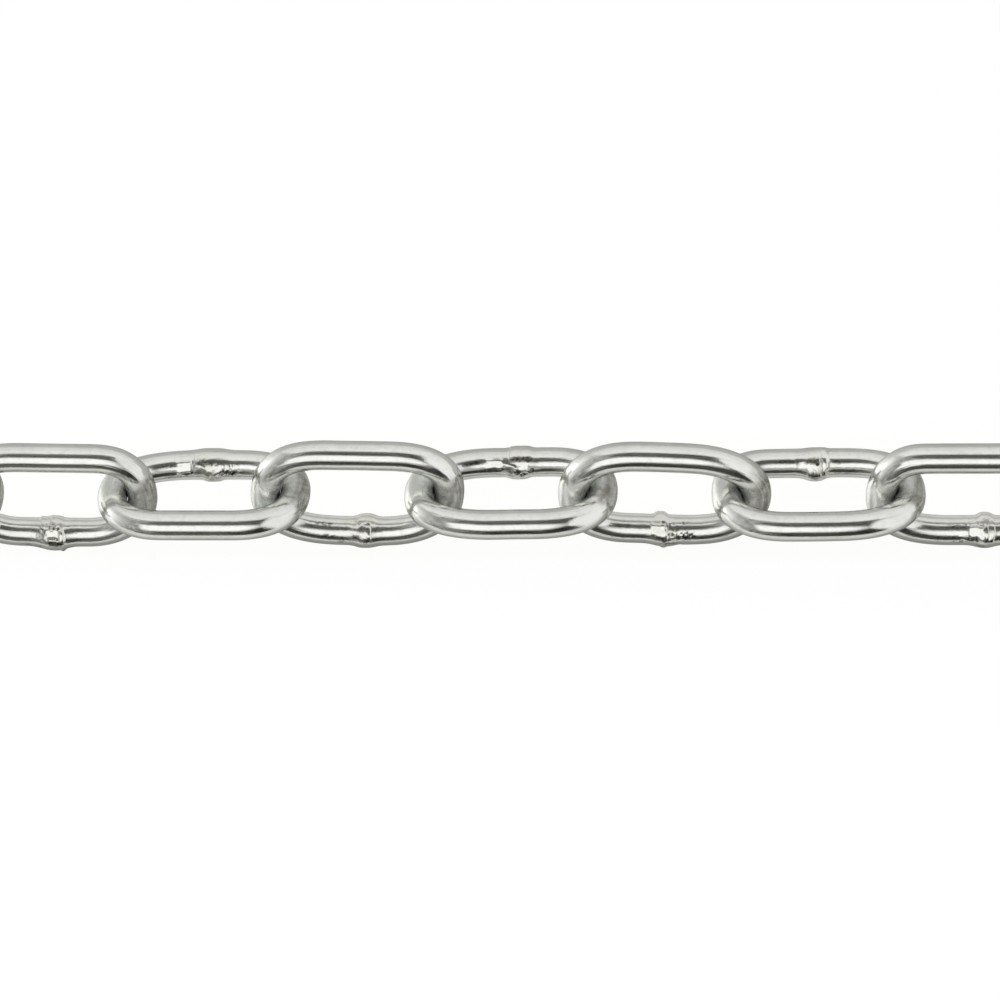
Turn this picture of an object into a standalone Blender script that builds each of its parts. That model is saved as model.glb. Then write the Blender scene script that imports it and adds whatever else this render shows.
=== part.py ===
"""A one-metre length of electric-welded steel link chain, lying straight and taut on a level floor.

Every link is one closed ring of round wire: two straight bars joined by two end bends, with the
swelling of its butt weld halfway along one bar. Neighbouring links hook into each other square to
one another. Each leans 45 degrees to the floor, alternately to one side and the other, and lies on
its welded bar.

World frame: metres, +Z up, +X along the chain, floor at Z = 0, chain centred on X = Y = 0.
"""

import math

import bpy

# ---- driving dimensions, metres ---------------------------------------------------------------
WIRE_D = 0.0060          # wire diameter
PITCH = 0.0308           # inner length of a link, which is the chain's pitch
BAR_SPACING = 0.0194     # between the centrelines of a link's two bars
BEND_REACH = 0.0110      # how far an end bend's centreline runs on past its bars
WELD_D = 0.00648         # diameter over the weld's swelling
WELD_FLAT = 0.0044       # length of the swelling at its full diameter
WELD_FOOT = 0.0100       # length of the swelling where it meets the wire
LINKS = 32               # whole links in a metre
LEAN = math.radians(45)  # a link's plane to the floor

BEND_STEPS = 7           # segments in an end bend, odd so that the middle one lies square to the chain
FACET = math.pi / 8      # half a side of the eight-sided wire section
PLAY = 0.00031           # gap between the wires where two links bear on each other

# The section's flats stand half the play inside the true wire, and its corners outside it.
WIRE_R = (WIRE_D - PLAY) / 2 / math.cos(FACET)
WELD_R = WELD_D / 2 / math.cos(FACET)

HALF_LENGTH = (PITCH + WIRE_D) / 2            # a link's middle to its end wire's centreline
HALF_BAR = HALF_LENGTH - BEND_REACH           # a link's middle to where its bar begins to bend
SOCKET = PITCH / 2 - WIRE_D / 2               # a link's middle to the centre of its neighbour's end wire
AXIS_HEIGHT = BAR_SPACING / 2 * math.sin(LEAN) + WELD_D / 2
MIDDLE_LINK = LINKS // 2                      # every other link hangs on this one, outward both ways

STEEL = (0.60, 0.60, 0.585, 1.0)              # bright zinc plate


def clear_scene():
    for obj in list(bpy.data.objects):
        bpy.data.objects.remove(obj, do_unlink=True)


def zinc_plate(name):
    mat = bpy.data.materials.new(name)
    mat.use_nodes = True
    shader = mat.node_tree.nodes["Principled BSDF"]
    shader.inputs["Base Color"].default_value = STEEL
    shader.inputs["Metallic"].default_value = 1.0
    shader.inputs["Roughness"].default_value = 0.22
    mat.diffuse_color = STEEL
    mat.metallic = 1.0
    mat.roughness = 0.22
    return mat


def bend_points(side):
    """The centreline of one end bend: half an ellipse from bar to bar. side is +1 or -1 along X."""
    points = []
    reach = BEND_REACH / math.cos(math.pi / BEND_STEPS / 2)  # puts the middle segment at full reach
    for step in range(BEND_STEPS + 1):
        turn = math.pi * (step / BEND_STEPS - 0.5)
        points.append((
            side * (HALF_BAR + reach * math.cos(turn)),
            side * BAR_SPACING / 2 * math.sin(turn),
            1.0,
        ))
    return points


def weld_points():
    """The welded bar, at local -Y, from -X to +X: foot, full swelling, foot."""
    full = WELD_R / WIRE_R
    y = -BAR_SPACING / 2
    return [
        (-WELD_FOOT / 2, y, 1.0),
        (-WELD_FLAT / 2, y, full),
        (WELD_FLAT / 2, y, full),
        (WELD_FOOT / 2, y, 1.0),
    ]


def link_centreline():
    """Points (x, y, radius factor) round a link, anticlockwise, with the link's middle at the origin."""
    # the right bend runs from the welded bar up to the plain bar, the left one back down to the weld
    return bend_points(1) + bend_points(-1) + weld_points()


def make_link(name, collection):
    """A link as a closed wire. Its origin is where its inner neighbour's end wire runs through it."""
    curve = bpy.data.curves.new(name, "CURVE")
    curve.dimensions = "3D"
    curve.twist_mode = "Z_UP"
    curve.bevel_mode = "ROUND"
    curve.bevel_depth = WIRE_R
    curve.bevel_resolution = 2
    curve.render_resolution_u = 0
    points = link_centreline()
    spline = curve.splines.new("POLY")
    spline.points.add(len(points) - 1)
    for point, (x, y, swell) in zip(spline.points, points):
        point.co = (x + SOCKET, y, 0.0, 1.0)
        point.radius = swell
        point.tilt = FACET  # turns flats, not corners, to the inside of the link and to the floor
    spline.use_cyclic_u = True
    spline.use_smooth = True
    curve.materials.append(zinc_plate(name + "_zinc"))
    obj = bpy.data.objects.new(name, curve)
    collection.objects.link(obj)
    return obj


def main():
    clear_scene()
    collection = bpy.data.collections.new("steel_link_chain")
    bpy.context.scene.collection.children.link(collection)

    # the chain's own axis, which all links share
    axis = bpy.data.objects.new("chain_axis", None)
    axis.location = (0.0, 0.0, AXIS_HEIGHT)
    axis.empty_display_size = PITCH
    collection.objects.link(axis)

    for number in range(1, LINKS + 1):
        middle = (number - (LINKS + 1) / 2) * PITCH
        outward = 1 if number >= MIDDLE_LINK else -1
        # odd links lean with the plain bar raised on the +Y side, even ones on the -Y side
        raised = 1 if number % 2 else -1
        obj = make_link(f"link_{number:02d}", collection)
        obj.parent = axis
        obj.location = (middle - outward * SOCKET, 0.0, 0.0)
        turned = 0.0 if outward > 0 else math.pi
        lean = LEAN if raised * outward > 0 else math.pi - LEAN
        obj.rotation_euler = (lean, 0.0, turned)


main()
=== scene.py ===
import functools
import math

import bpy
import numpy as np
from mathutils import Matrix, Vector


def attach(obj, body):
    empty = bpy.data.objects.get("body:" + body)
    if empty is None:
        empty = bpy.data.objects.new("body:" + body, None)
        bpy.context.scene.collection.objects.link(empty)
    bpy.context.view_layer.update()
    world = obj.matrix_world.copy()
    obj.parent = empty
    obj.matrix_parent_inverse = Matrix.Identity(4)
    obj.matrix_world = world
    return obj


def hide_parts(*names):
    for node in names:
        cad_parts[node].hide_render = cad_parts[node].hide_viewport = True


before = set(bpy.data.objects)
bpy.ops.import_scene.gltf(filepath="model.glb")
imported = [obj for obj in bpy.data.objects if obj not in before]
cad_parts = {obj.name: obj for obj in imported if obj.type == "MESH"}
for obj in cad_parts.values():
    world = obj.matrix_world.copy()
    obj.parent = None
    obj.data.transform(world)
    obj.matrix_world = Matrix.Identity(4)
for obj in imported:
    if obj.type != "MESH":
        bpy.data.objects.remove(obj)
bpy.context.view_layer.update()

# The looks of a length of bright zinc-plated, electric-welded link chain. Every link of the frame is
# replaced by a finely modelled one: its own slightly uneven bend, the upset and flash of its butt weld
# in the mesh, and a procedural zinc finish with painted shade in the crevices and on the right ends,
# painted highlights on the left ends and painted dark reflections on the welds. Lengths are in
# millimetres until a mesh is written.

MM = 0.001
LINKS = 32
PITCH = 30.8             # inner length of a link
WIRE_R = 2.985           # leaves 0.03 mm where two links bear on each other
HALF_SPAN = 9.7          # a link's middle to a bar's centreline
CLEAR = 3.0              # a contact between two links to either end wire's centreline
AXIS_HEIGHT = HALF_SPAN * math.sin(math.radians(45)) + 3.24

SEEN = range(13, 20)     # the links that the photograph shows
FINE = (380, 80)         # rings along the wire and points round it, for those links
PLAIN = (224, 50)        # and for the others

STUDIO = 0.8             # brightness of the whole studio
ROOM = 0.145             # of its dark parts, against that
BOX = 1.55               # of the soft box overhead
LAMP = 3.0               # of the lamp low on the left
SIDE = 4.8               # strength of the light that only reaches the floor

# ------------------------------------------------------------------ small helpers


def smooth(value, low, high):
    """0 below low, 1 above high, eased between."""
    t = np.clip((value - low) / (high - low), 0.0, 1.0)
    return t * t * (3.0 - 2.0 * t)


class Noise:
    """Smooth value noise on a repeating lattice, between -1 and 1."""

    def __init__(self, seed, size=24):
        self.size = size
        self.table = np.random.default_rng(seed).uniform(-1.0, 1.0, (size, size, size))

    def __call__(self, x, y, z, scale):
        p = [np.asarray(a, float) / scale for a in (x, y, z)]
        i = [np.floor(a).astype(int) for a in p]
        f = [a - b for a, b in zip(p, i)]
        f = [a * a * a * (a * (a * 6.0 - 15.0) + 10.0) for a in f]
        total = 0.0
        for dx in (0, 1):
            for dy in (0, 1):
                for dz in (0, 1):
                    w = 1.0
                    for a, d in zip(f, (dx, dy, dz)):
                        w = w * (a if d else 1.0 - a)
                    total = total + w * self.table[
                        (i[0] + dx) % self.size, (i[1] + dy) % self.size, (i[2] + dz) % self.size]
        return total


NOISE = Noise(7)


def blur_loop(values, spacing, sigma):
    """Gaussian blur of values along a closed loop of evenly spaced points."""
    n = len(values)
    k = np.fft.fftfreq(n, d=spacing)
    return np.real(np.fft.ifft(np.fft.fft(values) * np.exp(-2.0 * (math.pi * k * sigma) ** 2)))


# ------------------------------------------------------------------ how each link is bent
# turn: in its own plane, degrees. skew: the raised bar's shift along the chain against the welded bar.
# wide: extra half width. reach: how far each quarter of the bends runs back along its bar, raised left,
# raised right, welded left, welded right. square: how square the raised and the welded side's corners
# are, 2 being an ellipse. lean: degrees off the 45 at which links lie. side: off the row's axis, towards
# +Y. stout: the bars' thickness against the drawn wire's.

BENT = {
    13: dict(turn=-1.19, skew=-0.25, wide=-0.04, reach=(12.9, 9.3, 11.6, 11.8), square=(2.42, 1.97),
             lean=-0.59, side=-0.04, stout=0.975),
    14: dict(turn=0.12, skew=-0.35, wide=-0.16, reach=(11.1, 10.8, 17.2, 12.1), square=(2.21, 2.48),
             lean=1.17, side=-0.03, stout=0.998),
    15: dict(turn=-1.65, skew=0.71, wide=0.09, reach=(12.4, 13.7, 16.7, 14.2), square=(2.65, 2.36),
             lean=-0.74, side=0.21, stout=0.988),
    16: dict(turn=-1.47, skew=-0.44, wide=-0.10, reach=(17.3, 14.1, 14.8, 11.2), square=(2.53, 2.35),
             lean=0.13, side=0.20, stout=0.995),
    17: dict(turn=-2.57, skew=0.26, wide=-0.18, reach=(12.8, 16.1, 12.1, 13.9), square=(2.27, 2.31),
             lean=0.71, side=0.10, stout=1.004),
    18: dict(turn=-1.07, skew=-0.18, wide=-0.02, reach=(14.1, 16.1, 9.9, 14.7), square=(2.42, 2.68),
             lean=-0.52, side=-0.15, stout=0.988),
    19: dict(turn=0.01, skew=-0.07, wide=-0.16, reach=(7.9, 12.8, 14.4, 11.3), square=(2.07, 2.44),
             lean=0.98, side=-0.22, stout=1.013),
}


def bent(number):
    if number in BENT:
        return BENT[number]
    rng = np.random.default_rng(4100 + number)
    return dict(
        turn=float(rng.normal(-1.2, 0.7)),
        skew=float(rng.normal(0.0, 0.3)),
        wide=float(rng.uniform(-0.17, 0.08)),
        reach=tuple(float(v) for v in (rng.uniform(9.0, 15.5), rng.uniform(9.6, 15.5),
                                       rng.uniform(10.5, 16.5), rng.uniform(11.0, 15.0))),
        square=(float(rng.uniform(2.1, 2.6)), float(rng.uniform(2.05, 2.6))),
        lean=float(rng.uniform(-0.9, 1.1)),
        side=float(rng.uniform(-0.10, 0.10)),
        stout=float(rng.uniform(0.98, 1.01)),
    )


# How far the contact between a link and the next lies off its place in an even row.
CONTACTS = {12: -0.12, 13: 0.02, 14: -0.06, 15: 0.04, 16: 0.02, 17: -0.04, 18: 0.0, 19: 0.04}


def contact_x(number):
    """Where link number bears on the next link, in the row frame."""
    if number in CONTACTS:
        off = CONTACTS[number]
    else:
        off = 0.0 if number in (0, LINKS) else float(np.random.default_rng(900 + number).uniform(-0.04, 0.04))
    return (number - LINKS / 2) * PITCH + off


# ------------------------------------------------------------------ the welds
# A feature is (kind, x, angle, height, left, right, round, power). x is along the chain from the link's
# middle. angle is round the wire in degrees: 0 on top, +90 on the side away from the chain's axis, -90 on
# the side of the link's window. left and right are the half widths along the wire, round the half width
# round it, all in mm. power shapes it: 2 is a soft swelling, 4 and up a flat one with steep sides.
# A line is ("line", x1, angle1, x2, angle2, height, width), a ring ("ring", x, height, width, from, to)
# and a rough patch ("rough", x, angle, height, half length, round, grain). A flat pad squeezed out by the
# welding tool is ("flat", from x, to x, the angle that it faces, height, from angle, to angle).

WELDS = {
    13: [
        ("bump", 0.15, 84, 0.86, 3.1, 2.7, 3.6, 2.4),
        ("bump", 0.3, -88, 0.44, 1.9, 1.5, 2.6, 3.2),
        ("bump", -2.3, -80, 0.14, 0.7, 0.6, 1.5, 3.0),
        ("bump", 0.2, 20, 0.22, 1.4, 1.1, 1.7, 2.6),
        ("bump", 2.0, 96, 0.22, 0.6, 0.35, 0.7, 2.6),
        ("ring", -2.45, 0.20, 0.32, -78, -6),
        ("ring", -0.40, 0.20, 0.32, -78, -6),
        ("ring", 1.90, 0.19, 0.42, 6, 88),
        ("flat", -1.5, 1.25, 15, 0.16, 3, 32),
        ("bump", 1.05, -9, -0.14, 0.4, 0.3, 0.4, 2.0),
        ("bump", 0.1, -12, -0.10, 0.3, 0.3, 0.3, 2.0),
        ("line", -2.7, -60, -2.2, 40, -0.09, 0.30),
        ("bump", 0.1, 52, -0.12, 1.0, 0.9, 0.8, 2.2),
        ("rough", 0.2, 10, 0.030, 3.0, 4.0, 0.55),
    ],
    14: [
        ("bump", 1.2, 84, 0.44, 3.5, 3.1, 3.2, 3.0),
        ("bump", 1.3, -86, 0.40, 1.75, 1.75, 2.4, 4.5),
        ("bump", 1.4, 6, 0.20, 2.9, 2.3, 2.3, 3.5),
        ("line", -1.9, -6, 1.6, -42, 0.16, 0.50),
        ("line", 1.6, -42, 3.2, -30, 0.12, 0.35),
        ("flat", -5.9, -3.1, -13, 0.02, -34, 9),
        ("line", -2.75, -70, -2.6, 50, -0.12, 0.22),
        ("bump", 4.4, -30, 0.08, 0.9, 0.7, 0.8, 2.5),
        ("bump", 5.6, -24, 0.07, 0.5, 0.4, 0.5, 2.5),
        ("bump", 6.5, -38, 0.06, 0.4, 0.4, 0.5, 2.5),
        ("rough", 5.0, -34, 0.075, 2.0, 1.5, 0.34),
        ("rough", 0.5, -20, 0.030, 3.5, 4.0, 0.6),
    ],
    15: [
        ("bump", 1.1, 84, 0.52, 1.9, 2.4, 3.0, 2.8),
        ("bump", 1.6, -86, 0.60, 1.95, 1.9, 2.6, 3.0),
        ("bump", 1.3, 0, 0.18, 1.8, 1.4, 2.6, 3.0),
        ("bump", 1.9, -18, -0.09, 0.8, 0.6, 0.35, 2.2),
        ("bump", -0.5, 10, 0.14, 1.1, 0.8, 1.2, 2.5),
        ("ring", 2.75, -0.05, 0.24, -40, 90),
        ("ring", 1.25, -0.03, 0.20, 0, 90),
        ("bump", 2.2, 28, 0.12, 0.4, 0.4, 0.6, 2.2),
        ("bump", 1.5, 52, 0.10, 0.5, 0.4, 0.5, 2.2),
        ("rough", 1.8, 25, 0.026, 1.6, 3.0, 0.36),
        ("rough", 0.0, 0, 0.026, 3.5, 4.0, 0.6),
    ],
    16: [
        ("bump", 1.95, 84, 0.38, 2.35, 2.2, 3.2, 5.0),
        ("bump", 1.55, -86, 0.48, 2.1, 2.0, 2.4, 4.0),
        ("bump", 2.3, 8, 0.18, 2.6, 2.2, 2.0, 3.5),
        ("ring", -0.55, -0.12, 0.14, 15, 100),
        ("flat", -5.4, -1.8, -11, 0.02, -27, 6),
        ("line", -2.2, -6, 0.6, -28, 0.17, 0.42),
        ("line", 0.6, -28, 3.9, -44, 0.19, 0.40),
        ("bump", 1.0, -52, 0.18, 0.5, 0.4, 0.5, 2.4),
        ("bump", 2.2, -64, 0.16, 0.6, 0.5, 0.5, 2.4),
        ("bump", 3.6, -58, 0.14, 0.5, 0.6, 0.6, 2.4),
        ("bump", 4.9, -50, 0.10, 0.7, 0.6, 0.8, 2.4),
        ("bump", -1.6, -46, -0.08, 0.7, 0.6, 0.6, 2.4),
        ("rough", 1.9, -52, 0.070, 2.6, 1.8, 0.40),
        ("rough", -2.6, -10, 0.030, 2.2, 1.6, 0.5),
    ],
    17: [
        ("bump", 0.0, 84, 0.50, 2.3, 2.4, 3.0, 2.2),
        ("bump", -0.1, 88, 0.26, 0.5, 0.6, 1.4, 2.6),
        ("bump", -0.8, -88, 0.66, 1.2, 1.25, 1.7, 3.6),
        ("flat", -2.8, 0.0, 11, 0.10, -14, 28),
        ("ring", 0.55, -0.09, 0.22, -45, 80),
        ("ring", 2.1, 0.05, 0.40, -30, 80),
        ("bump", 0.9, -16, 0.10, 0.3, 0.3, 0.4, 2.2),
        ("bump", 1.7, 38, 0.12, 0.4, 0.4, 0.5, 2.2),
        ("bump", 0.6, 50, 0.10, 0.4, 0.4, 0.5, 2.2),
        ("bump", 3.1, 86, -0.10, 0.6, 0.6, 1.2, 2.2),
        ("rough", 1.6, 12, 0.030, 1.2, 3.0, 0.42),
        ("rough", 4.3, 38, 0.085, 1.6, 1.2, 0.36),
    ],
    18: [
        ("bump", 0.5, 84, 0.24, 2.9, 1.6, 2.8, 4.0),
        ("bump", -0.1, -86, 0.76, 2.4, 1.8, 2.3, 2.6),
        ("bump", -0.6, -54, 0.20, 1.1, 1.0, 1.0, 2.8),
        ("ring", 1.55, 0.17, 0.55, -70, 60),
        ("ring", 0.75, -0.10, 0.18, -60, 60),
        ("ring", 2.45, -0.10, 0.20, -60, 60),
        ("bump", -1.9, 8, 0.10, 1.3, 0.9, 1.3, 2.6),
        ("line", -4.6, -40, -4.0, 40, 0.08, 0.40),
        ("bump", -3.2, -10, -0.06, 0.7, 0.7, 0.7, 2.2),
        ("rough", 0.3, -20, 0.030, 3.0, 4.0, 0.5),
    ],
    19: [
        ("bump", 2.9, 84, 0.62, 2.1, 2.0, 3.0, 2.2),
        ("bump", 2.85, -87, 0.64, 1.4, 1.5, 2.1, 3.4),
        ("flat", -0.35, 2.45, 12, 0.12, -10, 27),
        ("bump", 0.3, 44, 0.14, 0.6, 0.5, 0.7, 2.4),
        ("bump", 2.3, 40, 0.12, 0.5, 0.4, 0.6, 2.4),
        ("bump", 3.7, 46, 0.12, 0.5, 0.5, 0.6, 2.4),
        ("ring", 3.5, -0.08, 0.22, -45, 80),
        ("ring", 4.4, 0.07, 0.26, -45, 80),
        ("line", -2.0, 30, 0.0, 52, 0.08, 0.30),
        ("rough", 1.4, 46, 0.060, 2.6, 1.2, 0.42),
        ("rough", 1.5, 0, 0.030, 3.0, 4.0, 0.5),
    ],
}


def weld(number):
    """A butt weld's upset and flash: the seven in view are listed, the rest drawn from the same range."""
    if number in WELDS:
        return WELDS[number]
    rng = np.random.default_rng(9200 + number)
    u = rng.uniform
    x = float(u(-0.4, 2.3))
    made = [
        ("bump", x + u(-0.4, 0.4), 84, u(0.25, 0.75), u(1.8, 3.3), u(1.6, 2.8), u(2.8, 3.4), u(2.2, 4.0)),
        ("bump", x + u(-0.6, 0.6), -87, u(0.38, 0.70), u(1.2, 2.2), u(1.3, 2.0), u(1.7, 2.6), u(2.6, 4.2)),
        ("bump", x + u(-0.8, 0.5), u(-6, 14), u(0.14, 0.28), u(1.1, 2.5), u(1.0, 2.2), u(1.3, 2.5), u(2.4, 3.4)),
        ("ring", x + u(0.4, 1.2), -u(0.07, 0.13), u(0.15, 0.24), u(-80, -20), u(40, 95)),
        ("ring", x + u(1.2, 2.0), u(0.05, 0.16), u(0.2, 0.5), u(-80, -20), u(40, 95)),
        ("rough", x, u(-20, 20), u(0.025, 0.032), u(2.8, 3.6), 4.0, u(0.5, 0.6)),
        ("rough", x + u(-1.5, 4.0), u(-50, 50), u(0.055, 0.085), u(1.4, 2.4), u(1.3, 2.6), u(0.34, 0.42)),
    ]
    if u() < 0.6:
        a = float(u(-20, 10))
        side = float(u(-38, 38))
        made.append(("line", x - u(2.0, 4.5), a, x + u(0.5, 2.5), a + side, u(0.10, 0.19), u(0.35, 0.55)))
    if u() < 0.7:
        start, facing = x - u(0.5, 6.0), (1 if number % 2 else -1) * u(8, 15)
        made.append(("flat", start, start + u(2.2, 3.2), facing, u(0.02, 0.16), facing - u(14, 22), facing + u(14, 22)))
    for _ in range(int(rng.integers(3, 7))):
        w = float(u(0.3, 0.8))
        made.append(("bump", x + u(-2.4, 3.2), u(-75, 75), u(0.06, 0.2) * (1 if u() < 0.7 else -0.8),
                     w, w * u(0.7, 1.3), w * u(0.8, 1.4), u(2.0, 2.8)))
    return made


# Heat marks and scorched pits on the welds, and dark reflections painted on the welds' swellings:
# (x, angle, half length, half width, darkness, speckle), in mm but for the angle. speckle 0 is an even mark, 1 one
# broken into specks.

MARKS = {
    13: [(0.15, 48, 1.7, 0.5, 1, 0.1), (0.14, -6, 0.26, 0.26, 1, 0), (1, -7, 0.24, 0.26, 1, 0),
         (-2.6, 21, 0.9, 0.65, 0.55, 0.4), (1.9, 85, 0.4, 0.3, 0.6, 0.3), (-4.2, 67, 2, 0.5, 0.5, 0.9),
         (3.8, 9, 1.6, 0.22, 0.5, 0.8)],
    14: [(0.8, 0, 2.8, 0.62, 0.72, 0.55), (0.5, 6, 2, 0.16, 0.8, 0.3), (-4.35, -42, 1.05, 0.4, 0.9, 0.2),
         (4.6, -38, 1.9, 0.85, 0.95, 1), (-8, -8, 2.6, 0.32, 0.85, 0.6), (-2.9, -20, 0.35, 0.9, 0.45, 0.4),
         (1.1, -72, 1.6, 0.25, 0.5, 0.7), (-6.5, -56, 2.5, 0.55, 0.45, 0.9)],
    15: [(1.68, -19, 0.62, 0.2, 0.9, 0.1), (-0.45, 30, 1.3, 0.45, 0.8, 0.4), (1.75, 41, 0.8, 0.42, 0.9, 0.4),
         (-3.25, 47, 0.9, 0.8, 0.5, 0.9), (-6.45, 31, 2.4, 0.45, 0.8, 0.9), (-6.75, -17, 2.2, 0.5, 0.7, 0.9),
         (0.25, -31, 1.6, 0.2, 0.5, 0.6), (-0.25, 67, 1.6, 0.22, 0.6, 0.6)],
    16: [(2.2, 4, 2.5, 0.58, 0.88, 0.6), (1.2, -42, 1, 0.38, 0.85, 0.5), (4.05, -40, 0.65, 0.45, 0.75, 0.5),
         (-8.15, -4, 2.6, 0.42, 0.95, 0.3), (-5.55, -40, 2.6, 0.42, 0.65, 0.9),
         (0.05, -62, 1.4, 0.22, 0.6, 0.6), (-3.15, 10, 1, 0.12, 0.8, 0.3)],
    17: [(-0.3, -24, 0.42, 0.3, 1, 0.1), (0.45, -8, 0.24, 0.22, 1, 0.1), (1, -16, 0.2, 0.26, 0.95, 0.1),
         (-0.7, 38, 1, 0.24, 0.95, 0.1), (1.4, 24, 0.75, 0.4, 0.9, 0.5), (4.5, 26, 1.8, 0.9, 1, 1),
         (4.3, -22, 1.2, 0.35, 0.7, 0.9), (0.9, 60, 2.2, 0.24, 0.75, 0.4), (-8.5, -4, 1.4, 0.4, 0.6, 0.9)],
    18: [(-1.2, -2, 1.55, 0.42, 0.85, 0.4), (0, -10, 0.42, 0.36, 1, 0), (-0.55, -52, 1.2, 0.8, 0.85, 0.5),
         (-6.3, 1, 2.4, 0.45, 0.85, 0.7), (4.5, -1, 2, 0.4, 0.75, 0.8), (5.9, -47, 2.4, 0.45, 0.5, 0.9),
         (-0.7, -79, 1.3, 0.16, 0.8, 0.1)],
    19: [(3, 42, 0.62, 0.55, 0.65, 0.3), (0.2, 41, 1.2, 0.4, 0.8, 0.7), (-2.4, 51, 1.2, 0.55, 0.6, 0.9),
         (-3, -9, 2.4, 0.45, 0.8, 0.7), (-5, 33, 2.6, 0.35, 0.6, 0.8), (2.2, 69, 1.4, 0.2, 0.7, 0.4)],
}


def marks(number):
    if number in MARKS:
        return MARKS[number]
    rng = np.random.default_rng(7300 + number)
    u = rng.uniform
    x = next(f[1] for f in weld(number) if f[0] == "bump")
    side = 1.0 if number % 2 else -1.0
    made = [(x + u(-0.6, 0.8), side * u(8, 40), u(1.0, 2.6), u(0.4, 0.62), u(0.7, 0.95), u(0.2, 0.6)),
            (x + u(2.2, 4.2), side * u(20, 34), u(1.2, 1.9), u(0.5, 0.9), u(0.7, 1.0), 1.0),
            (x - u(4.5, 8.0), u(0, 10), u(1.8, 2.6), u(0.3, 0.45), u(0.6, 0.9), u(0.5, 0.9)),
            (x + u(-0.8, 0.8), side * u(52, 64), u(1.2, 2.0), u(0.18, 0.26), u(0.5, 0.8), u(0.2, 0.6))]
    for _ in range(int(rng.integers(2, 6))):
        made.append((x + u(-2.0, 2.6), u(-55, 55), u(0.22, 0.9), u(0.22, 0.42), u(0.7, 1.0), u(0.0, 0.5)))
    return made


def turned(angle, target):
    """Degrees from target to angle, between -180 and 180."""
    return (angle - target + 180.0) % 360.0 - 180.0


def feature_height(feature, x, angle, noise_at):
    """How far one weld feature lifts the surface, in mm, at points x along the link and angle round the wire."""
    kind = feature[0]
    to_mm = math.radians(1.0) * WIRE_R
    if kind == "flat":
        return 0.0
    if kind == "bump":
        _, fx, fa, height, left, right, wide, power = feature
        d = x - fx
        along = np.abs(d) / np.where(d < 0, left, right)
        around = np.abs(turned(angle, fa)) * to_mm / wide
        return height * np.exp(-0.83 * along ** power - 0.83 * around ** min(power, 2.6))
    if kind == "line":
        _, x1, a1, x2, a2, height, width = feature
        px, pa = x - x1, turned(angle, a1) * to_mm
        ex, ea = x2 - x1, (a2 - a1) * to_mm
        t = np.clip((px * ex + pa * ea) / (ex * ex + ea * ea), 0.0, 1.0)
        wander = 0.35 * noise_at(0.9)
        away = np.hypot(px - t * ex, pa - t * ea + wander * width)
        return height * np.exp(-(away / width) ** 2) * (0.75 + 0.45 * noise_at(0.8))
    if kind == "ring":
        _, fx, height, width, low, high = feature
        wander = 0.22 * noise_at(1.3)
        there = smooth(angle, low - 14, low + 6) * (1.0 - smooth(angle, high - 6, high + 14))
        return height * np.exp(-((x - fx + wander) / width) ** 2) * there
    _, fx, fa, height, long, wide, grain = feature
    there = np.exp(-(np.abs(x - fx) / long) ** 2.6 - (np.abs(turned(angle, fa)) * to_mm / wide) ** 2.6)
    return height * there * (noise_at(grain) + 0.6 * noise_at(grain * 0.55))


def press_flats(lift, features, x, angle, noise_at):
    """Turn the surface under each flat pad into a plane."""
    for kind, *values in features:
        if kind != "flat":
            continue
        x1, x2, facing, height, a1, a2 = values
        wander = 0.30 * noise_at(0.8, 13.0)
        off = np.clip(turned(angle, facing), -50.0, 50.0)
        plane = (WIRE_R + height) / np.cos(np.radians(off)) - WIRE_R + 0.008 * noise_at(0.6, 17.0)
        there = smooth(x + wander, x1 - 0.15, x1 + 0.2) * (1.0 - smooth(x + wander, x2 - 0.2, x2 + 0.15))
        there = there * smooth(angle + 16 * wander, a1 - 4, a1 + 4) * (1.0 - smooth(angle + 16 * wander, a2 - 4, a2 + 4))
        lift = lift + there * (plane - lift)
    return lift


# ------------------------------------------------------------------ a link's wire


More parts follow.
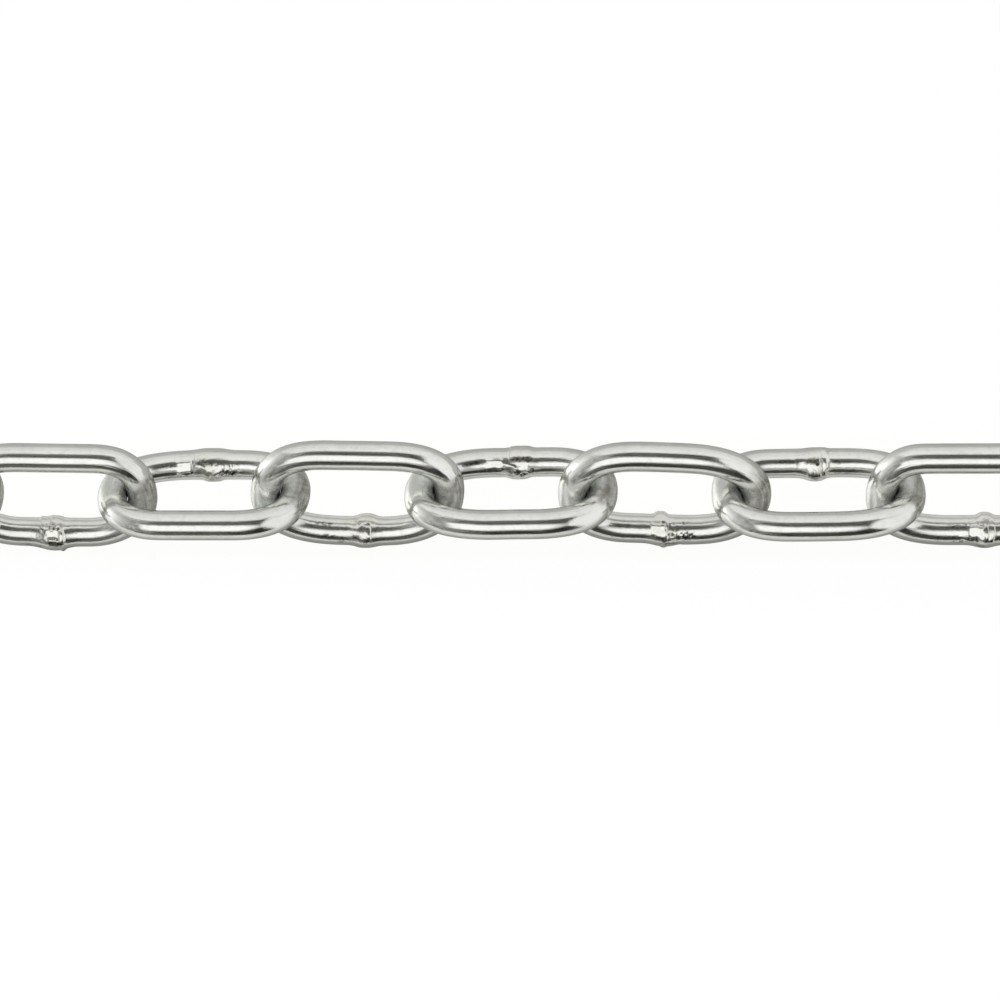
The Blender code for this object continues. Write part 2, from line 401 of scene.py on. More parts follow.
@functools.lru_cache(maxsize=None)
def centreline(number):
    """Closed loop (x, v) of a link's wire in its plane, evenly spaced, from the weld on, anticlockwise. v is
    across the link, from the welded bar up to the raised bar."""
    b = bent(number)
    span = HALF_SPAN + b["wide"]
    half_length = (contact_x(number) - contact_x(number - 1)) / 2 + CLEAR
    t = np.linspace(0.0, math.pi / 2, 500)

    def quarter(reach, square):
        x = half_length - reach + reach * np.cos(t) ** (2.0 / square)
        return x, span * np.sin(t) ** (2.0 / square)  # from the end wire to the bar

    (ul_x, ul_v), (ur_x, ur_v) = quarter(b["reach"][0], b["square"][0]), quarter(b["reach"][1], b["square"][0])
    (ll_x, ll_v), (lr_x, lr_v) = quarter(b["reach"][2], b["square"][1]), quarter(b["reach"][3], b["square"][1])
    x = np.concatenate([lr_x[::-1], ur_x[1:], -ul_x[::-1], -ll_x[1:]])
    v = np.concatenate([-lr_v[::-1], ur_v[1:], ul_v[::-1], -ll_v[1:]])

    def even(x, v, n):
        x, v = np.append(x, x[0]), np.append(v, v[0])
        s = np.concatenate([[0.0], np.cumsum(np.hypot(np.diff(x), np.diff(v)))])
        at = np.linspace(0.0, s[-1], n, endpoint=False)
        return np.interp(at, s, x), np.interp(at, s, v), s[-1] / n

    x, v, step = even(x, v, 3000)
    x, v = blur_loop(x, step, 0.9), blur_loop(v, step, 0.9)
    # the wire was never quite straight: long soft wanders of a few hundredths of a millimetre
    rng = np.random.default_rng(600 + number)
    around = np.arange(3000) / 3000 * 2 * math.pi
    wander = sum(rng.normal(0.0, 0.05 / k) * np.cos(k * around + rng.uniform(0, 2 * math.pi)) for k in range(3, 11))
    v = v + wander * np.abs(v) / span
    x = x + b["skew"] * v / span
    turn = math.radians(b["turn"])
    x, v = x * math.cos(turn) - v * math.sin(turn), x * math.sin(turn) + v * math.cos(turn)
    # each end bears on its neighbour: its centreline clears the neighbour's by one wire diameter
    raised = 1.0 if number % 2 else -1.0
    for side in (1.0, -1.0):
        here = x * side > 0
        beside = bent(number + int(side))["side"] - b["side"]
        beside *= raised * math.cos(math.radians(45.0 + b["lean"]))
        for _ in range(8):
            near = np.hypot(x[here] * side - half_length + 2.0 * CLEAR, v[here] - beside).min()
            x[here] *= 1.0 + (2.0 * CLEAR - near) / half_length
    weld_x = next(f[1] for f in weld(number) if f[0] == "bump")
    low = np.flatnonzero(v < 0)
    start = low[np.argmin(np.abs(x[low] - weld_x))]
    return even(np.roll(x, -start), np.roll(v, -start), 6000)


def end_wire(number, right, every=12):
    """Points in the row frame along the centreline of one end of a link."""
    b = bent(number)
    x, v, _ = centreline(number)
    x, v = x[::every], v[::every]
    keep = (x > 9.0) if right else (x < -9.0)
    x, v = x[keep], v[keep]
    raised = 1.0 if number % 2 else -1.0
    lean = math.radians(45.0 + b["lean"])
    return np.stack([x + (contact_x(number - 1) + contact_x(number)) / 2, b["side"] + v * raised * math.cos(lean),
                     AXIS_HEIGHT + v * math.sin(lean)], -1)


@functools.lru_cache(maxsize=None)
def slack(number):
    """How far the two end wires where link number meets the next move together, to bear on each other."""
    if not 1 <= number < LINKS:
        return 0.0
    one, two = end_wire(number, True, 3), end_wire(number + 1, False, 3)
    one, two = one[np.abs(one[:, 1]) < 3.0], two[np.abs(two[:, 1]) < 3.0]
    apart = np.linalg.norm(one[:, None] - two[None], axis=-1).min()
    return (apart - 2.0 * WIRE_R - 0.016) / 2.0


def link_arrays(number):
    """Vertices (mm, in the row frame), and what the finish needs to know of each."""
    rings, sides = FINE if number in SEEN else PLAIN
    b = bent(number)
    x, v, step = centreline(number)
    n = len(x)
    length = n * step
    s = np.arange(n) * step
    s_signed = np.where(s > length / 2, s - length, s)
    tx, tv = np.roll(x, -1) - np.roll(x, 1), np.roll(v, -1) - np.roll(v, 1)
    tx, tv = blur_loop(tx, step, 0.3), blur_loop(tv, step, 0.3)
    size = np.hypot(tx, tv)
    tx, tv = tx / size, tv / size

    # rings are close together at the weld and further apart away from it
    gap = 0.14 + 0.26 * smooth(np.abs(s_signed), 3.4, 7.0)
    count = np.concatenate([[0.0], np.cumsum(step / gap)])
    at = np.interp(np.arange(rings) / rings * count[-1], count, np.append(s, length))

    def pick(values):
        return np.interp(at, np.append(s, length), np.append(values, values[0]))

    rx, rv, rtx, rtv = pick(x), pick(v), pick(tx), pick(tv)
    rx = rx - slack(number) * smooth(rx, 9.0, 16.0) + slack(number - 1) * smooth(-rx, 9.0, 16.0)
    size = np.hypot(rtx, rtv)
    rtx, rtv = rtx / size, rtv / size
    signed = np.where(at > length / 2, at - length, at)

    raised = 1.0 if number % 2 else -1.0
    lean = math.radians(45.0 + b["lean"])
    across = np.array([0.0, raised * math.cos(lean), math.sin(lean)])
    normal = np.array([0.0, -raised * math.sin(lean), math.cos(lean)])

    turn = np.arange(sides) / sides * 2 * math.pi          # from outward in the link's plane to its normal
    cos_t, sin_t = np.cos(turn)[None, :], np.sin(turn)[None, :]
    out = rtv[:, None] * np.array([1.0, 0.0, 0.0]) - rtx[:, None] * across
    centre = rx[:, None] * np.array([1.0, 0.0, 0.0]) + rv[:, None] * across
    direction = out[:, None, :] * cos_t[..., None] + normal[None, None, :] * sin_t[..., None]

    bare = centre[:, None, :] + direction * WIRE_R
    bx, by, bz = bare[..., 0], bare[..., 1], bare[..., 2]
    shift = 61.7 * number                                   # each link has its own stretch of the noise

    def noise_at(scale, more=0.0):
        return NOISE(bx + shift + more, by + 0.37 * shift, bz - 0.61 * shift, scale)

    swell = 0.014 * noise_at(4.6) + 0.006 * noise_at(1.9, 11.0)
    # draw marks run along the wire
    along = (at[:, None] + shift) * np.ones_like(cos_t)
    swell = swell + 0.0016 * NOISE(along / 14.0, 3.0 * cos_t + 0.2 * shift, 3.0 * sin_t, 0.55)

    welded = np.exp(-np.abs(signed[:, None] / 7.5) ** 3) * np.ones_like(cos_t)
    near = np.exp(-np.abs(signed[:, None] / 4.0) ** 2.4) * np.ones_like(cos_t)
    swell = swell + welded * (0.020 * noise_at(2.6, 5.0) + 0.008 * noise_at(1.1, 23.0))

    angle = (135.0 - np.degrees(turn)[None, :]) * np.ones_like(welded)
    angle = turned(angle, 0.0)
    px = rx[:, None] * np.ones_like(cos_t)
    lift = np.zeros_like(welded)
    for feature in weld(number):
        lift = lift + feature_height(feature, px, angle, noise_at)
    lift = press_flats(lift, weld(number), px, angle, noise_at)
    # the underside carries the same upset, pressed flat where the link lies on it
    weld_x = next(f[1] for f in weld(number) if f[0] == "bump")
    under = 0.30 * np.exp(-0.83 * np.abs((px - weld_x) / 2.3) ** 3) * np.exp(-(np.abs(turned(angle, 180.0)) / 62.0) ** 3)
    lift = (lift + under) * (np.abs(signed[:, None]) < 12.0)
    radius = WIRE_R * b["stout"] + swell + lift

    # where links bear on each other the wire keeps its drawn size
    ends = np.exp(-((np.abs(rx) - np.abs(rx).max()) / 3.2) ** 4)[:, None] * np.exp(-(rv / 5.0) ** 4)[:, None]
    radius = radius + ends * (np.clip(radius, WIRE_R - 0.004, WIRE_R + 0.002) - radius)

    place = centre[:, None, :] + direction * radius[..., None]
    place[..., 0] += (contact_x(number - 1) + contact_x(number)) / 2
    place[..., 1] += b["side"]
    place[..., 2] = np.maximum(place[..., 2] + AXIS_HEIGHT, 0.0)

    contact = np.zeros_like(welded)
    for at_x, beside in ((contact_x(number - 1), bent(number - 1)["side"]), (contact_x(number), bent(number + 1)["side"])):
        bearing = np.array([at_x, 0.5 * (b["side"] + beside), AXIS_HEIGHT])
        away = np.linalg.norm(place - bearing, axis=-1)
        contact = np.maximum(contact, 1.0 - smooth(away + 0.9 * noise_at(1.1, 3.0), 1.0, 6.6))
    # painted shade and grime in the crevice between two links: darker where the neighbour's wire comes close, and on
    # the right end a broader painted shade beside the crevice
    grime_and_crevice_shade, shade = np.zeros_like(welded), np.zeros_like(welded)
    for other, ring_at in ((number - 1, rx < -9.0), (number + 1, rx > 9.0)):
        if not 1 <= other <= LINKS:
            continue
        path = end_wire(other, other < number)
        part = place[ring_at]
        gap = np.full(part.shape[:2], 99.0)
        for point in path:
            gap = np.minimum(gap, np.linalg.norm(part - point, axis=-1))
        gap = gap - WIRE_R + 0.20 * noise_at(0.7, 71.0)[ring_at]
        grime_and_crevice_shade[ring_at] = 1.0 - smooth(gap, 0.02, 0.75 if other < number else 0.60)
        # painted shade beside the crevice, on the right end only
        if other > number:
            shade[ring_at] = 1.0 - smooth(gap + 0.5 * noise_at(1.1, 91.0)[ring_at], 0.35, 3.0)
    wire = np.stack([along, 3.0 * cos_t + 0.0 * along, 3.0 * sin_t + 0.0 * along], -1)
    flash = np.clip(np.abs(lift) / 0.25, 0.0, 1.0)

    # heat marks and pits, and painted dark reflections on the welds' swellings
    scorch_and_dark_reflection = np.zeros_like(welded)
    to_mm = math.radians(1.0) * WIRE_R
    ragged = noise_at(0.45, 31.0)
    specks = smooth(noise_at(0.38, 47.0) + 0.5 * noise_at(0.22, 53.0), -0.10, 0.22)
    for mx, ma, long, wide, dark, speckle in marks(number):
        d = np.hypot((px - mx) / long, turned(angle, ma) * to_mm / wide)
        inside = 1.0 - smooth(d + 0.30 * ragged, 0.72, 1.18)
        scorch_and_dark_reflection = np.maximum(scorch_and_dark_reflection, inside * dark * (1.0 - speckle + speckle * specks))
    scorch_and_dark_reflection = scorch_and_dark_reflection * (np.abs(signed[:, None]) < 14.0)

    # the middle of each end, where its neighbour rubs it, darkened far more on the right end than on the left: wear and
    # painted shade; the middle of the left end, lightened: a painted highlight with a little frost; and the bends,
    # marked by the tools that bent them
    outward = direction[..., 0] * np.sign(rx)[:, None]
    wear_and_right_end_shade = (1.0 - smooth(np.abs(rv)[:, None] + 1.2 * noise_at(1.7, 61.0), 2.6, 6.0)) * smooth(outward, -0.15, 0.45)
    wear_and_right_end_shade = wear_and_right_end_shade * (np.abs(rx) > 12.0)[:, None] * np.where(rx > 0, 1.0, 0.12)[:, None]
    # the middle of the left end, lightened in colour as a painted highlight, with a little frost
    left_end_frost_and_highlight = smooth(-rx[:, None] + 1.4 * noise_at(1.9, 83.0), 10.5, 15.5)
    left_end_frost_and_highlight = left_end_frost_and_highlight * (1.0 - smooth(np.abs(rv)[:, None] + 1.2 * noise_at(1.5, 87.0), 3.4, 6.4))
    bend = smooth(np.abs(rx), 8.5, 13.5)[:, None] * np.ones_like(welded)
    bar = (1.0 - smooth(np.abs(signed), 8.0, 15.0))[:, None] * np.ones_like(welded)
    layers = dict(weld_zone=near, flash=flash, contact=contact, scorch_and_dark_reflection=scorch_and_dark_reflection, wear_and_right_end_shade=wear_and_right_end_shade, bend=bend, welded_bar=bar,
                  grime_and_crevice_shade=grime_and_crevice_shade, shade=shade, left_end_frost_and_highlight=left_end_frost_and_highlight)
    return place, layers, wire, at, length, raised


def strip_map(at, length, sides):
    """A flat map of the wire, cut in four lengths laid two by two."""
    ends = np.append(at, length)
    quarter = length / 4.0
    which = np.minimum((0.5 * (ends[:-1] + ends[1:]) / quarter).astype(int), 3)
    start = np.array([ends[:-1][which == k][0] for k in range(4)])
    stop = np.array([ends[1:][which == k][-1] for k in range(4)])
    girth = 2 * math.pi * 3.0
    cell_u, cell_v = (stop - start).max() + 0.6, girth + 0.6
    scale = 0.985 / max(2 * cell_u, 2 * cell_v)
    k = which
    u0 = 0.008 + (k % 2) * cell_u * scale
    v0 = 0.008 + (k // 2) * cell_v * scale
    left = u0 + (ends[:-1] - start[k]) * scale
    right = u0 + (ends[1:] - start[k]) * scale
    low = v0[:, None] + np.arange(sides)[None, :] / sides * girth * scale
    high = v0[:, None] + (np.arange(sides) + 1)[None, :] / sides * girth * scale
    left, right = left[:, None] + 0 * low, right[:, None] + 0 * low
    return left, right, low, high


def make_link(number, material):
    place, layers, wire, at, length, raised = link_arrays(number)
    rings, sides = place.shape[:2]
    i, j = np.meshgrid(np.arange(rings), np.arange(sides), indexing="ij")
    i2, j2 = (i + 1) % rings, (j + 1) % sides
    index = [a * sides + b for a, b in ((i, j), (i2, j), (i2, j2), (i, j2))]
    left, right, low, high = strip_map(at, length, sides)
    corners_u = [left, right, right, left]
    corners_v = [low, low, high, high]
    if raised < 0:
        index, corners_u, corners_v = index[::-1], corners_u[::-1], corners_v[::-1]
    faces = np.stack(index, -1).reshape(-1, 4)
    uv = np.stack([np.stack(corners_u, -1).reshape(-1, 4), np.stack(corners_v, -1).reshape(-1, 4)], -1)

    name = f"chain_link_{number:02d}"
    mesh = bpy.data.meshes.new(name)
    mesh.from_pydata((place.reshape(-1, 3) * MM).tolist(), [], faces.tolist())
    layer = mesh.uv_layers.new(name="OFBake")
    layer.data.foreach_set("uv", uv.reshape(-1).astype(np.float32))
    for label, values in layers.items():
        attribute = mesh.attributes.new(label, "FLOAT", "POINT")
        attribute.data.foreach_set("value", values.reshape(-1).astype(np.float32))
    attribute = mesh.attributes.new("wire", "FLOAT_VECTOR", "POINT")
    attribute.data.foreach_set("vector", wire.reshape(-1).astype(np.float32))
    mesh.shade_smooth()
    mesh.materials.append(material)
    mesh.update()
    link = bpy.data.objects.new(name, mesh)
    bpy.context.scene.collection.objects.link(link)
    node = f"link_{number:02d}"
    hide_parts(node)
    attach(link, node)
    return link


# ------------------------------------------------------------------ the finish


class Tree:
    """A few short ways to add nodes."""

    def __init__(self, tree):
        self.tree = tree
        tree.nodes.clear()

    def add(self, kind, **settings):
        node = self.tree.nodes.new(kind)
        for key, value in settings.items():
            setattr(node, key, value)
        return node

    def join(self, a, b):
        self.tree.links.new(a, b)

    def put(self, socket, value):
        if isinstance(value, (int, float, tuple)):
            socket.default_value = value
        else:
            self.join(value, socket)

    def math(self, operation, a, b=None, c=None, clamp=False):
        node = self.add("ShaderNodeMath", operation=operation, use_clamp=clamp)
        for socket, value in zip(node.inputs, (a, b, c)):
            if value is not None:
                self.put(socket, value)
        return node.outputs[0]

    def ramp(self, value, from_low, from_high, to_low=0.0, to_high=1.0, kind="SMOOTHSTEP"):
        node = self.add("ShaderNodeMapRange", interpolation_type=kind)
        for socket, given in zip(node.inputs, (value, from_low, from_high, to_low, to_high)):
            self.put(socket, given)
        return node.outputs[0]

    def noise(self, vector, scale, detail=2.0, rough=0.5):
        node = self.add("ShaderNodeTexNoise")
        self.join(vector, node.inputs["Vector"])
        node.inputs["Scale"].default_value = scale
        node.inputs["Detail"].default_value = detail
        node.inputs["Roughness"].default_value = rough
        return node.outputs["Fac"]

    def mix(self, fac, a, b):
        node = self.add("ShaderNodeMix", data_type="RGBA")
        self.put(node.inputs["Factor"], fac)
        self.put(node.inputs[6], a)
        self.put(node.inputs[7], b)
        return node.outputs[2]

    def attribute(self, name, output="Fac"):
        return self.add("ShaderNodeAttribute", attribute_name=name).outputs[output]

    def scaled(self, vector, scale):
        node = self.add("ShaderNodeVectorMath", operation="MULTIPLY")
        self.join(vector, node.inputs[0])
        node.inputs[1].default_value = scale
        return node.outputs[0]


def zinc():
    """Bright zinc plate on drawn wire: soft mottling, draw lines along the wire, and duller, faintly olive
    metal on the weld's flash. Also painted into its colour: shade in the crevices and on the right ends,
    highlights on the left ends and dark reflections on the welds."""
    material = bpy.data.materials.new("bright_zinc_plate")
    material.use_nodes = True
    t = Tree(material.node_tree)
    here = t.add("ShaderNodeTexCoord").outputs["Object"]
    wire = t.attribute("wire", "Vector")
    lines = t.scaled(wire, (0.07, 1.0, 1.0))
    long_lines = t.scaled(wire, (0.02, 1.0, 1.0))
    weld_zone, flash, contact = t.attribute("weld_zone"), t.attribute("flash"), t.attribute("contact")
    scorch_and_dark_reflection, wear_and_right_end_shade, bend, grime_and_crevice_shade, left_end_frost_and_highlight = (t.attribute(name) for name in ("scorch_and_dark_reflection", "wear_and_right_end_shade", "bend", "grime_and_crevice_shade", "left_end_frost_and_highlight"))

    broad = t.noise(here, 95.0, 2.0, 0.5)
    mottle = t.noise(here, 620.0, 3.0, 0.6)
    fine = t.noise(here, 2600.0, 2.0, 0.6)
    drawn = t.noise(lines, 1.7, 3.0, 0.6)
    drawn_long = t.noise(long_lines, 3.1, 2.0, 0.5)

    # colour
    plate = t.mix(t.ramp(broad, 0.32, 0.68), (0.802, 0.804, 0.772, 1.0), (0.752, 0.754, 0.723, 1.0))
    plate = t.mix(t.ramp(mottle, 0.44, 0.70, 0.0, 0.42), plate, (0.660, 0.665, 0.628, 1.0))
    plate = t.mix(t.ramp(drawn, 0.54, 0.76, 0.0, 0.34), plate, (0.640, 0.643, 0.606, 1.0))
    olive = t.math("MULTIPLY", weld_zone, t.ramp(mottle, 0.30, 0.70, 0.25, 0.80))
    plate = t.mix(t.math("MULTIPLY", olive, 0.75), plate, (0.735, 0.722, 0.640, 1.0))
    rubbed = t.ramp(t.math("ADD", contact, t.math("MULTIPLY", t.math("SUBTRACT", mottle, 0.5), 0.5)), 0.10, 0.75)
    plate = t.mix(t.math("MULTIPLY", rubbed, 0.85), plate, (0.850, 0.878, 0.842, 1.0))
    # the rubbed contacts, and the left ends' painted highlight with a little frost: lighter colour, lower metallic, a
    # little rougher
    rubbed_and_left_highlight = t.math("MAXIMUM", rubbed, t.math("MULTIPLY", left_end_frost_and_highlight, t.ramp(mottle, 0.30, 0.70, 0.35, 0.90)))
    plate = t.mix(t.math("MULTIPLY", rubbed_and_left_highlight, 0.80), plate, (0.860, 0.885, 0.852, 1.0))
    scuffs = t.ramp(t.noise(here, 1100.0, 3.0, 0.65), 0.50, 0.62)
    plate = t.mix(t.math("MULTIPLY", t.math("MULTIPLY", rubbed, scuffs), 0.40), plate, (0.480, 0.500, 0.475, 1.0))

    # painted shade, with some wear: the middle of each end darkened, the right end far more than the left, streaked
    # along the draw lines
    right_end_shade_and_wear = t.math("MULTIPLY", wear_and_right_end_shade, t.math("ADD", 0.55, t.ramp(drawn, 0.40, 0.62, 0.30, -0.10)))
    right_end_shade_and_wear = t.math("ADD", right_end_shade_and_wear, t.math("MULTIPLY", wear_and_right_end_shade, t.ramp(mottle, 0.40, 0.62, -0.10, 0.18)), clamp=True)
    plate = t.mix(right_end_shade_and_wear, plate, (0.300, 0.292, 0.258, 1.0))
    # painted shade: brownish, darker beside the crevice on the right end of each link
    plate = t.mix(t.math("MULTIPLY", t.attribute("shade"), t.ramp(mottle, 0.35, 0.65, 0.45, 0.85)), plate,
                  (0.215, 0.205, 0.180, 1.0))
    # painted shade with grime: dark in the crevice where two links meet
    plate = t.mix(t.math("MULTIPLY", grime_and_crevice_shade, 0.92), plate, (0.060, 0.066, 0.060, 1.0))
    # heat marks and pits, and painted dark reflections, on the welds
    plate = t.mix(scorch_and_dark_reflection, plate, (0.045, 0.046, 0.034, 1.0))

    # roughness
    rough = t.ramp(mottle, 0.30, 0.75, 0.085, 0.150)
    rough = t.math("ADD", rough, t.ramp(drawn, 0.50, 0.80, 0.0, 0.060))
    rough = t.math("ADD", rough, t.math("MULTIPLY", flash, t.ramp(fine, 0.35, 0.70, 0.01, 0.10)))
    rough = t.math("ADD", rough, t.math("MULTIPLY", rubbed, t.ramp(fine, 0.35, 0.65, 0.16, 0.34)), clamp=True)
    rough = t.math("ADD", rough, t.math("MULTIPLY", rubbed_and_left_highlight, 0.06), clamp=True)
    rough = t.math("ADD", rough, t.math("MULTIPLY", grime_and_crevice_shade, 0.20), clamp=True)
    rough = t.math("ADD", rough, t.math("MULTIPLY", wear_and_right_end_shade, 0.16), clamp=True)
    rough = t.math("ADD", rough, t.math("MULTIPLY", scorch_and_dark_reflection, 0.12), clamp=True)

    # relief too fine for the mesh, in metres
    height = t.math("MULTIPLY", t.math("SUBTRACT", drawn, 0.5), 0.0000042)
    height = t.math("MULTIPLY", height, t.math("ADD", 1.0, t.math("MULTIPLY", bend, 14.0)))
    height = t.math("ADD", height, t.math("MULTIPLY", t.math("SUBTRACT", drawn_long, 0.5), 0.0000016))
    height = t.math("ADD", height, t.math("MULTIPLY", t.math("SUBTRACT", fine, 0.5), 0.0000085))
    grain = t.math("SUBTRACT", t.noise(here, 3000.0, 2.0, 0.6), 0.5)
    height = t.math("ADD", height, t.math("MULTIPLY", t.math("MULTIPLY", t.attribute("welded_bar"), grain), 0.000014))
    pitted = t.math("MULTIPLY", weld_zone, t.math("SUBTRACT", t.noise(here, 1500.0, 3.0, 0.6), 0.5))
    height = t.math("ADD", height, t.math("MULTIPLY", pitted, 0.000012))
    scuffed = t.math("MULTIPLY", rubbed, t.math("SUBTRACT", t.noise(here, 1300.0, 2.0, 0.55), 0.5))
    height = t.math("ADD", height, t.math("MULTIPLY", scuffed, 0.000032))
    bump = t.add("ShaderNodeBump")
    bump.inputs["Strength"].default_value = 1.0
    bump.inputs["Distance"].default_value = 1.0
    t.join(height, bump.inputs["Height"])

    shader = t.add("ShaderNodeBsdfPrincipled")
    t.join(t.ramp(rubbed_and_left_highlight, 0.0, 1.0, 1.0, 0.75), shader.inputs["Metallic"])
    shader.inputs["Specular Tint"].default_value = (0.62, 0.62, 0.62, 1.0)
    t.join(plate, shader.inputs["Base Color"])
    t.join(rough, shader.inputs["Roughness"])
    t.join(bump.outputs["Normal"], shader.inputs["Normal"])
    t.join(shader.outputs[0], t.add("ShaderNodeOutputMaterial").inputs["Surface"])
    return material


# ------------------------------------------------------------------ floor, light and camera


def floor():
    """A plain white sweep, burnt out to white where the camera looks at it straight."""
    mesh = bpy.data.meshes.new("floor")
    r = 30.0
    mesh.from_pydata([(-r, -r, 0.0), (r, -r, 0.0), (r, r, 0.0), (-r, r, 0.0)], [], [(0, 1, 2, 3)])
    obj = bpy.data.objects.new("floor", mesh)
    bpy.context.scene.collection.objects.link(obj)
    material = bpy.data.materials.new("white_sweep")
    material.use_nodes = True
    t = Tree(material.node_tree)
    here = t.add("ShaderNodeTexCoord").outputs["Object"]
    split = t.add("ShaderNodeSeparateXYZ")
    t.join(here, split.inputs[0])
    # greyer close in front of the chain, where it lies in its own shade
    front = t.math("MULTIPLY", t.ramp(split.outputs[1], -0.052, -0.012, 0.0, 1.0, "LINEAR"), t.ramp(split.outputs[1], -0.010, -0.004, 1.0, 0.0))
    shade = t.mix(t.ramp(split.outputs[1], 0.004, 0.016), (0.54, 0.54, 0.53, 1.0), (0.29, 0.29, 0.283, 1.0))
    shade = t.mix(front, shade, (0.14, 0.14, 0.135, 1.0))
    # the deep shade right under the eight middle places where two links meet, at whole pitches
    along = t.math("SUBTRACT", t.math("FRACT", t.math("MULTIPLY_ADD", split.outputs[0], 1000.0 / PITCH, 0.5)), 0.5)
    off_x, off_y = t.math("MULTIPLY", along, PITCH / 1.6), t.math("MULTIPLY_ADD", split.outputs[1], 1000.0 / 1.5, -0.8 / 1.5)
    spot = t.math("SQRT", t.math("ADD", t.math("MULTIPLY", off_x, off_x), t.math("MULTIPLY", off_y, off_y)))
    off_middle = t.math("ABSOLUTE", t.math("ADD", split.outputs[0], PITCH / 2 * MM))
    inside = t.math("LESS_THAN", off_middle, 4.0 * PITCH * MM)
    spot = t.math("MULTIPLY", t.ramp(spot, 0.45, 1.0, 1.0, 0.0), inside)
    matt = t.add("ShaderNodeBsdfDiffuse")
    t.join(shade, matt.inputs["Color"])
    satin = t.add("ShaderNodeBsdfGlossy", distribution="GGX")
    satin.inputs["Color"].default_value = (0.9, 0.9, 0.885, 1.0)
    satin.inputs["Roughness"].default_value = 0.46
    shader = t.add("ShaderNodeMixShader")
    shader.inputs[0].default_value = 0.25
    t.join(matt.outputs[0], shader.inputs[1])
    t.join(satin.outputs[0], shader.inputs[2])
    burnt = t.add("ShaderNodeEmission")
    near = t.ramp(t.math("ABSOLUTE", split.outputs[1]), 0.006, 0.016, 1.0, 0.0)
    white = t.mix(near, (1.0, 1.0, 1.0, 1.0), (0.985, 0.985, 0.965, 1.0))
    t.join(t.mix(spot, white, (0.46, 0.46, 0.45, 1.0)), burnt.inputs["Color"])
    burnt.inputs["Strength"].default_value = 1.03
    seen = t.math("MULTIPLY", t.add("ShaderNodeLightPath").outputs["Is Camera Ray"], 0.94)
    both = t.add("ShaderNodeMixShader")
    t.join(seen, both.inputs[0])
    t.join(shader.outputs[0], both.inputs[1])
    t.join(burnt.outputs[0], both.inputs[2])
    t.join(both.outputs[0], t.add("ShaderNodeOutputMaterial").inputs["Surface"])
    mesh.materials.append(material)
    return obj


def side_light(sweep):
    """A soft light from the left that only reaches the floor, whose sheen the links' left ends see."""
    lamp = bpy.data.lights.new("floor_light", "SUN")
    lamp.energy = SIDE
    lamp.angle = math.radians(52.0)
    obj = bpy.data.objects.new("floor_light", lamp)
    bpy.context.scene.collection.objects.link(obj)
    toward = Vector((-0.76, 0.10, 0.60))
    obj.rotation_euler = toward.to_track_quat("Z", "Y").to_euler()
    lit = bpy.data.collections.new("floor_only")
    lit.objects.link(sweep)
    obj.light_linking.receiver_collection = lit
    obj.light_linking.blocker_collection = lit


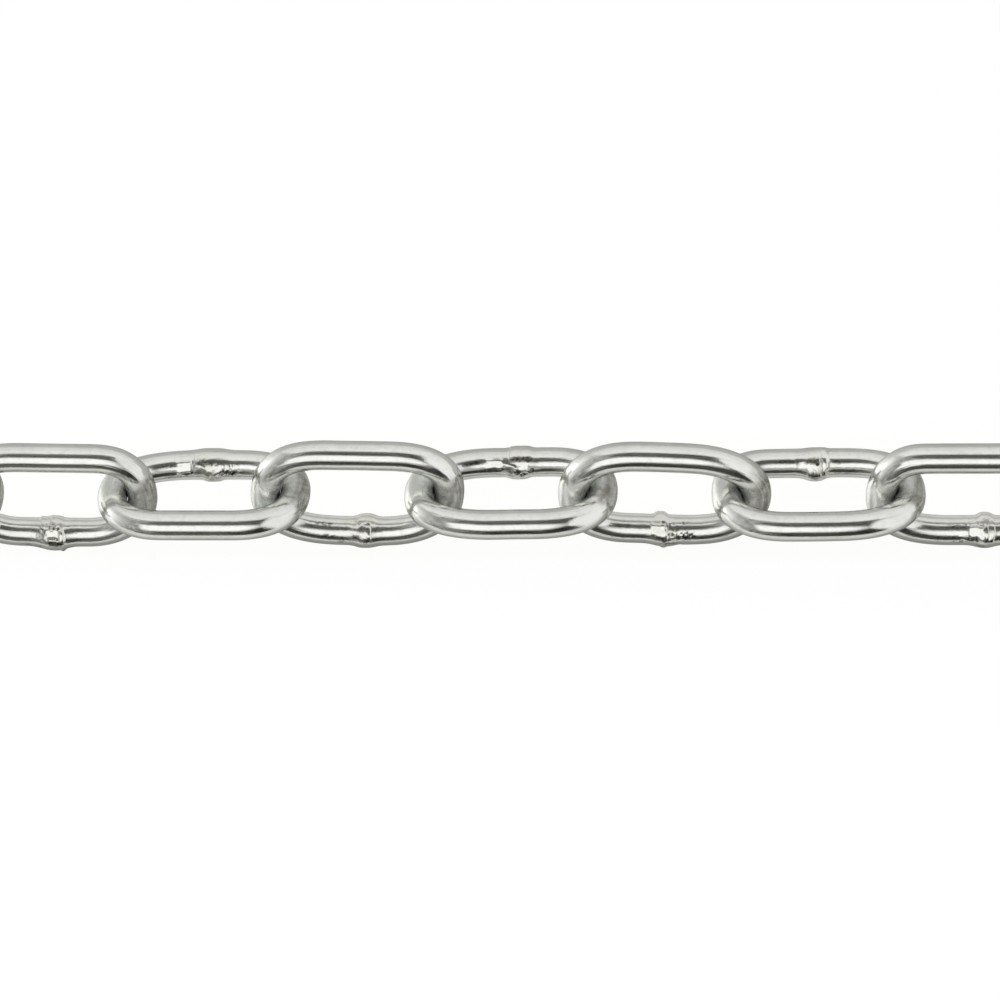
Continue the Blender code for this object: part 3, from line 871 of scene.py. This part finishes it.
def studio():
    """A soft studio as a world shader. a is degrees from straight up towards -Y, b towards +X, turned is
    degrees round from +X towards +Y. The brightest thing in a direction is what is seen there."""
    world = bpy.data.worlds.new("studio")
    bpy.context.scene.world = world
    world.use_nodes = True
    t = Tree(world.node_tree)
    direction = t.add("ShaderNodeTexCoord").outputs["Generated"]
    split = t.add("ShaderNodeSeparateXYZ")
    t.join(direction, split.inputs[0])
    x, y, z = split.outputs

    def times(*values):
        total = values[0]
        for value in values[1:]:
            total = t.math("MULTIPLY", total, value)
        return total

    def less(value, edge, soft):
        return t.ramp(value, edge - soft, edge + soft, 1.0, 0.0)

    def more(value, edge, soft):
        return t.ramp(value, edge - soft, edge + soft)

    a = t.math("DEGREES", t.math("ARCTAN2", t.math("MULTIPLY", y, -1.0), z))
    b = t.math("DEGREES", t.math("ARCSINE", t.math("MAXIMUM", t.math("MINIMUM", x, 1.0), -1.0)))
    turned = t.math("DEGREES", t.math("ARCTAN2", y, x))

    # the dark ceiling and front, a little lighter on the left
    room = times(t.ramp(b, -42.0, 2.0, 0.52, ROOM), t.ramp(a, 38.0, 78.0, 1.0, 0.76),
                 t.ramp(t.math("ADD", t.math("MULTIPLY", b, 1.0), t.math("MULTIPLY", a, 0.4)), 18.0, 42.0, 1.0, 0.45),
                 t.ramp(t.noise(direction, 15.0, 2.0, 0.6), 0.43, 0.57, 0.22, 1.75))
    # the white wall behind, brighter higher up
    back = times(t.ramp(a, -90.0, -44.0, 0.94, 1.22, "LINEAR"), less(a, -26.0, 7.5), less(turned, 139.0, 9.0),
                 more(turned, 0.0, 20.0))
    # the white wall on the right
    right = times(t.ramp(turned, 0.0, 50.0, 1.27, 1.05), more(b, 24.5, 2.5), more(turned, -52.0, 5.0))
    # the big soft box overhead, a little in front
    off_a = t.math("DIVIDE", t.math("SUBTRACT", a, 28.0), 22.9)
    off_b = t.math("DIVIDE", t.math("ADD", b, 12.0), 34.0)
    away = t.math("SQRT", t.math("ADD", times(off_a, off_a), times(off_b, off_b)))
    box = times(less(away, 1.0, 0.40), more(b, -30.0, 5.0), BOX)
    # a lamp low on the left
    height, way = math.radians(0.0), math.radians(168.0)
    dot = t.add("ShaderNodeVectorMath", operation="DOT_PRODUCT")
    t.join(direction, dot.inputs[0])
    dot.inputs[1].default_value = (math.cos(height) * math.cos(way), math.cos(height) * math.sin(way), math.sin(height))
    apart = t.math("DEGREES", t.math("ARCCOSINE", t.math("MAXIMUM", t.math("MINIMUM", dot.outputs["Value"], 1.0), -1.0)))
    lamp = times(less(apart, 12.0, 5.0), LAMP)
    glow = times(t.ramp(apart, 10.0, 50.0, 1.45, 0.50), less(apart, 50.0, 3.0))

    # pale towards the horizon in front
    low = times(more(a, 85.0, 6.0), 0.42)

    total = room
    for value in (back, right, box, lamp, glow, low):
        total = t.math("MAXIMUM", total, value)
    # where the camera looks past the floor it sees the same white as the sweep
    seen = t.add("ShaderNodeLightPath").outputs["Is Camera Ray"]
    tint = t.mix(t.ramp(total, 0.2, 1.0), (1.0, 1.0, 0.94, 1.0), (1.0, 1.0, 1.0, 1.0))
    total = t.math("ADD", times(total, t.math("SUBTRACT", 1.0, seen), STUDIO), times(seen, 1.02))
    background = t.add("ShaderNodeBackground")
    t.join(tint, background.inputs["Color"])
    t.join(total, background.inputs["Strength"])
    t.join(background.outputs[0], t.add("ShaderNodeOutputWorld").inputs["Surface"])


def camera():
    """Nearly straight down, tipped a few degrees towards -Y."""
    scale = 4.989                                   # pixels of the 1000 to a millimetre at the chain's axis
    lens = 150.0
    width = 1000.0 / scale * MM
    distance = width * lens / 36.0
    phi, eps = math.radians(1.19), math.radians(4.35)
    back = Vector((math.sin(phi), -math.sin(eps) * math.cos(phi), math.cos(eps) * math.cos(phi)))
    up = (Vector((0.0, 1.0, 0.0)) - back.y * back).normalized()
    right = up.cross(back)
    target = Vector((-15.4 * MM, 0.0, AXIS_HEIGHT * MM))
    target += right * ((500.0 - 510.9) / scale * MM) - up * ((500.0 - 494.26) / scale * MM)
    data = bpy.data.cameras.new("camera")
    data.lens, data.sensor_width = lens, 36.0
    data.clip_start, data.clip_end = 0.01, 50.0
    obj = bpy.data.objects.new("camera", data)
    bpy.context.scene.collection.objects.link(obj)
    turn = Matrix((right, up, back)).transposed()
    obj.matrix_world = Matrix.Translation(target + back * distance) @ turn.to_4x4()
    bpy.context.scene.camera = obj


def main():
    zinc_plate = zinc()
    for number in range(1, LINKS + 1):
        make_link(number, zinc_plate)
    side_light(floor())
    studio()
    camera()
    view = bpy.context.scene.view_settings
    view.view_transform, view.look, view.exposure, view.gamma = "Standard", "None", 0.0, 1.0


main()

bpy.context.view_layer.update()
